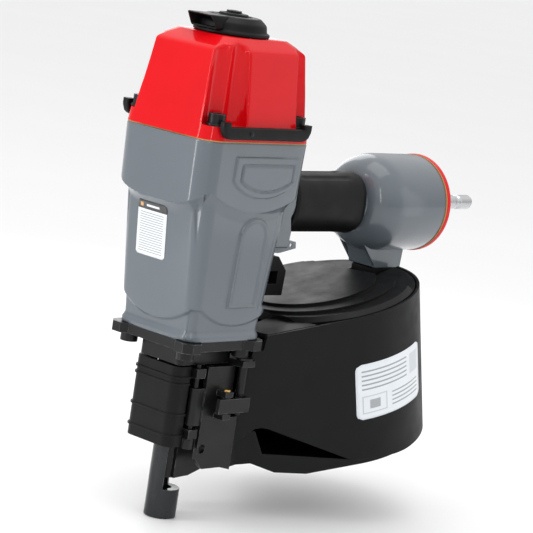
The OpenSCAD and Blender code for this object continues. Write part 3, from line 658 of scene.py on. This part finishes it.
def cap_sdf(x, y, z, pocket=True):
    """Distance outside the cap, in mm, with or without its corner pockets for the bolts."""
    x0 = lin(z, [(CAP_LOW, -53.6), (354.5, -45.0), (CAP_TOP, -30)])
    x1 = lin(z, [(CAP_LOW, 56), (LEDGE, 55.2), (354, 49.0), (CAP_TOP, 34)])
    hy = lin(z, [(CAP_LOW, 46.6), (LEDGE, 46.0), (LEDGE + 0.5, 45.0), (354.5, 38.6), (CAP_TOP, 29)])
    r = lin(z, [(CAP_LOW, 14), (354, 10), (CAP_TOP, 10)])
    d = rect_sdf(x, y, x0, x1, -hy, hy, r)
    on_x = np.abs(x - MID_X) / 48 > np.abs(y) / 42
    d = d - np.where(on_x, 1.2 * crown(y, 40), 0.6 * crown(x - 2, 40))
    if pocket:
        side = np.abs(y)
        cut = smin(np.hypot(x + 42.0, side - 38.8) - 9.2,
                   np.hypot(x + 27.0, side - 42.6) - 9.4, 3.2)
        cut = np.minimum(cut, np.hypot(x - 43.0, side - 38.8) - 9.4)
        d = smax(d, -cut, 1.5)
    return d


angles = even_angles(48, 42, 560)
zs = [CAP_LOW + 0.01] + list(np.arange(CAP_LOW + 0.6, LEDGE - 0.2, 1.2)) + [LEDGE - 0.3]
low_rows = polar_rows(lambda x, y, z: cap_sdf(x, y, z, False), zs, angles)
zs = [LEDGE] + list(np.arange(LEDGE + 0.7, 350, 1.1)) + list(np.linspace(350.5, 356, 12))
zs += list(np.arange(357, CAP_TOP - 0.1, 0.9)) + [CAP_TOP - 0.05]
high_rows = polar_rows(cap_sdf, zs, angles)
# The edge between the walls and the roof is rounded by blending the rows near it
near = [i for i, z in enumerate(zs) if 349.5 < z < 357.5 and i < len(zs) - 1]
for _ in range(10):
    before = high_rows.copy()
    for i in near:
        high_rows[i] = (before[i - 1] + 2 * before[i] + before[i + 1]) / 4
ride(loft("cap_shell", np.concatenate([low_rows, high_rows]), MATS["red_paint"], angle=40), "head_cap")

# Bolts with hexagon sockets, washers and the inner parts keep their CAD shape, with eased edges
for n in ("cap_bolts", "cap_washers", "head_gasket", "deflector_screw", "head_valve", "head_valve_seal",
          "cylinder_liner", "cylinder_collar", "drive_piston", "piston_ring", "driver_blade", "bumper"):
    refine(n, width=0.25)

# Rubber guards: a rounded strip swept along a shallow U, with a rivet
GUARD_MID_Y, GUARD_OUTER_Y, GUARD_IN, GUARD_UP = 46.9 + 3.0, 52.7, 4.2, 4.6
for side, node in ((-1, "guard_left"), (1, "guard_right")):
    lo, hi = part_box(node)
    x0, x1, z0, z1 = lo.x / MM, hi.x / MM, lo.z / MM, hi.z / MM
    y = side * GUARD_MID_Y
    turn = [(5 * (1 - math.cos(math.radians(a))), GUARD_UP * (1 - math.sin(math.radians(a))))
            for a in range(0, 91, 15)]
    turn_back = [(5 * (1 - math.sin(math.radians(a))), GUARD_UP * (1 - math.cos(math.radians(a))))
                 for a in range(0, 91, 15)]
    path = [(x0 + GUARD_IN, y, z1 - 0.3), (x0 + GUARD_IN, y, z1 - 1.5)]
    path += [(x0 + GUARD_IN + dx, y, z0 + GUARD_UP + up) for dx, up in turn]
    path += [(x1 - GUARD_IN - dx, y, z0 + GUARD_UP + up) for dx, up in turn_back]
    path += [(x1 - GUARD_IN, y, z1 - 1.5), (x1 - GUARD_IN, y, z1 - 0.3)]
    pts = [Vector(p) for p in path]
    out = Vector((0, side, 0))
    section = [(a / 4.7, b / 3.0) for a, b in round_box(9.4, 6.0, 2.0, 6)]
    rows = []
    for i, p in enumerate(pts):
        t = (pts[min(i + 1, len(pts) - 1)] - pts[max(i - 1, 0)]).normalized()
        across = t.cross(out).normalized()
        wide = 9.0 if 4 < i < len(pts) - 5 else 7.8
        rows.append([tuple((p + across * u * wide / 2 + out * v * 3.0) * MM) for u, v in section])
    ride(loft("guard_%s" % ("near" if side < 0 else "far"), rows, MATS["black_rubber"], angle=60), node)
    rivet = revolve("guard_rivet_%d" % (side > 0), [(0, 1.9), (0.5, 1.9), (1.0, 1.4), (1.15, 0.6)],
                    MATS["black_steel"], n=24)
    rivet.data.transform(Matrix.Rotation(side * math.pi / 2, 4, "Z"))
    rivet.data.transform(Matrix.Translation(Vector((x0 + 29, side * GUARD_OUTER_Y, z0 + GUARD_UP)) * MM))
    extra(rivet, node)

# Exhaust deflector: dished hood, raised disc and spout
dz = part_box("exhaust_deflector")[0].z / MM
prof = rounded([(dz, 24), (dz, 28), (dz + 2.6, 28), (dz + 3.4, 25.8), (dz + 8.6, 25.0), (dz + 12.6, 20.5),
                (dz + 13.1, 19.0), (dz + 13.1, 14.5), (dz + 12.2, 13.5), (dz + 12.2, 11.5), (dz + 14.6, 10.6),
                (dz + 14.9, 9.4), (dz + 14.9, 7.0), (dz + 13.0, 6.6)], 1.6, 5)
ride(revolve("deflector_hood", prof, MATS["black_plastic"], axis="z", n=144), "exhaust_deflector")


def spout(name, mat):
    """Rows of x at the top and bottom, half width, low and high z, and corner radius."""
    rows = []
    for xt, xb, hy, z0, z1, r in ((-8, -8, 12.4, 3.0, 13.1, 1.6), (-22, -20, 12.6, 3.0, 13.1, 1.6),
                                  (-34.6, -28.4, 12.9, 2.9, 13.2, 1.4), (-35.6, -29.0, 12.5, 3.2, 13.0, 1.1),
                                  (-35.0, -28.6, 11.7, 4.2, 12.2, 0.9), (-28, -24, 10.9, 4.8, 11.7, 0.9),
                                  (-15, -15, 10.6, 4.9, 11.6, 0.9)):
        row = []
        for u, v in round_box(2 * hy, z1 - z0, r, 4):
            k = 0.5 + v / (z1 - z0)
            row.append([(xb + (xt - xb) * k) * MM, u * (1.04 - 0.08 * k) * MM,
                        (dz + (z0 + z1) / 2 + v) * MM])
        rows.append(row)
    return loft(name, rows, mat, cap_start=False, angle=45)


ride(spout("deflector_spout", MATS["black_plastic"]), "exhaust_deflector")

# ---------------------------------------------------------------- nose

for n, w in (("nose_base", 0.5), ("nose_bolts", 0.3), ("door_hinge_rod", 0.3), ("feed_door", 0.5),
             ("latch_post", 0.3), ("door_latch", 0.4), ("latch_pin", 0.2), ("contact_arm", 0.5),
             ("arm_guide", 0.5), ("adjuster_wheel", 0.2), ("trigger_pin", 0.2), ("trigger_tongue", 0.2),
             ("tongue_pin", 0.2), ("valve_body", 0.2), ("valve_stem", 0.2), ("feed_cylinder", 0.4),
             ("feed_piston", 0.2), ("feed_pawl", 0.15), ("pawl_pin", 0.1), ("end_cap_gasket", 0.0),
             ("end_cap_screws", 0.2), ("air_plug", 0.35), ("magazine_hinge_pin", 0.2), ("support_post", 0.3),
             ("nail_support", 0.5), ("magazine_bolt", 0.2), ("trigger", 0.9), ("nose_cover", 0.5)):
    refine(n, width=w)
refine("contact_tip", width=0.6, mat=TIP_STEEL, segments=3)
for n in ("arm_spring", "head_valve_spring"):
    o = NODES[n]
    for s in o.material_slots:
        s.material = MATS["bright_steel"]

# ---------------------------------------------------------------- magazine

for n, w in (("magazine_body", 0.5), ("magazine_cover", 0.6), ("magazine_top_cap", 0.8)):
    refine(n, width=w)


def plate_label(name, point, mat, node, corner, n=24):
    """A thin film over a surface. point(u, v) gives places in mm, corner its rounding in u and v."""
    ru, rv = corner
    verts, uvs = [], []
    for i in range(n):
        v = i / (n - 1)
        d = min(v, 1 - v)
        cut = 0.0 if d >= rv else ru * (1 - math.sqrt(max(0.0, 1 - (1 - d / rv) ** 2)))
        for j in range(n):
            u = cut + (1 - 2 * cut) * j / (n - 1)
            verts.append([c * MM for c in point(u, v)])
            uvs.append((u, v))
    o = new_object(name, verts, grid_faces(n, n, closed=False), mat)
    layer = o.data.uv_layers.new(name="plate")
    for loop in o.data.loops:
        layer.data[loop.index].uv = uvs[loop.vertex_index]
    o.modifiers.new("film", "SOLIDIFY").thickness = 0.12 * MM
    return extra(o, node)


def front_label(u, v):
    """On the housing's -X face, found by halving the gap between inside and outside."""
    y, z = 22 - 30.5 * u, 196.5 + 40.0 * v
    lo, hi = 10.0, 60.0
    for _ in range(24):
        mid = (lo + hi) / 2
        inside = body_sdf(np.array([-mid]), np.array([y]), np.array([z]))[0] < 0
        lo, hi = (mid, hi) if inside else (lo, mid)
    return (-lo - 0.3, y, z)


DRUM_TILT, DRUM_FOOT, DRUM_LABEL_R = math.radians(-16), Vector((172, -4, 57)), 76.3


def drum_label(u, v):
    """On the magazine cover's outside, in the drum's tilted frame."""
    a = math.radians(-119 + 54 * u)
    p = Vector((DRUM_LABEL_R * math.cos(a), DRUM_LABEL_R * math.sin(a), 37.5 + 45.5 * v))
    return tuple(Matrix.Rotation(DRUM_TILT, 3, "Y") @ p + DRUM_FOOT)


plate_label("front_label", front_label, label_finish("front_label", "front"), "main_housing",
            (0.06, 0.045))
plate_label("drum_label", drum_label, label_finish("drum_label", "drum"), "magazine_cover",
            (0.07, 0.11))

# ---------------------------------------------------------------- stage and light


def pale(name, color, rough):
    m = Nodes(name)
    col = m.mixed(m.ranged(m.noise(3, 3), 0, 1), tint(color, 0.985), color)
    m.link(col, m.bsdf.inputs["Base Color"])
    m.bsdf.inputs["Roughness"].default_value = rough
    m.bsdf.inputs["Specular IOR Level"].default_value = 0.2
    return m.mat


FLOOR_Z, FLOOR_HALF = -0.0005, 9  # metres, just under the contact tip
corners = [(x * FLOOR_HALF, y * FLOOR_HALF, FLOOR_Z) for x, y in ((-1, -1), (1, -1), (1, 1), (-1, 1))]
floor = new_object("floor", corners, [(0, 1, 2, 3)], pale("floor_paint", (0.88, 0.88, 0.885), 0.6))

world = bpy.data.worlds.new("studio")
scene.world = world
world.use_nodes = True
sky = world.node_tree
ramp = sky.nodes.new("ShaderNodeMapRange")
split = sky.nodes.new("ShaderNodeSeparateXYZ")
sky.links.new(sky.nodes.new("ShaderNodeTexCoord").outputs["Generated"], split.inputs[0])
sky.links.new(split.outputs[2], ramp.inputs["Value"])
for key, value in (("From Min", 0.0), ("From Max", 0.7), ("To Min", 0.42), ("To Max", 1.12)):
    ramp.inputs[key].default_value = value
sky.nodes["Background"].inputs["Color"].default_value = (1.0, 1.0, 1.0, 1)
sky.links.new(ramp.outputs["Result"], sky.nodes["Background"].inputs["Strength"])


def softbox(name, at, look, size, radiance):
    """A soft light panel that the camera doesn't see."""
    ld = bpy.data.lights.new(name, "AREA")
    ld.shape, ld.size, ld.size_y = "RECTANGLE", size[0], size[1]
    ld.energy = radiance * math.pi * size[0] * size[1]
    lo = bpy.data.objects.new(name, ld)
    scene.collection.objects.link(lo)
    lo.location = at
    lo.rotation_mode = "QUATERNION"
    lo.rotation_quaternion = (Vector(look) - Vector(at)).to_track_quat("-Z", "Y")
    lo.visible_camera = False


softbox("top", (0.0, 0.0, 2.4), (0.08, 0, 0.15), (1.6, 1.6), 1.6)
softbox("strip_left", (-0.56, 0.24, 0.42), (0.0, 0.0, 0.25), (0.08, 0.84), 8.0)
softbox("strip_front", (-0.62, -0.66, 0.62), (0.0, 0.0, 0.28), (0.07, 0.6), 7.0)
softbox("card_right", (0.62, -0.52, 0.34), (0.06, 0.0, 0.2), (0.30, 0.60), 0.6)
softbox("card_back", (0.6, 0.7, 0.6), (0.1, 0.0, 0.2), (0.4, 0.8), 1.6)
scene.view_settings.view_transform = "Standard"
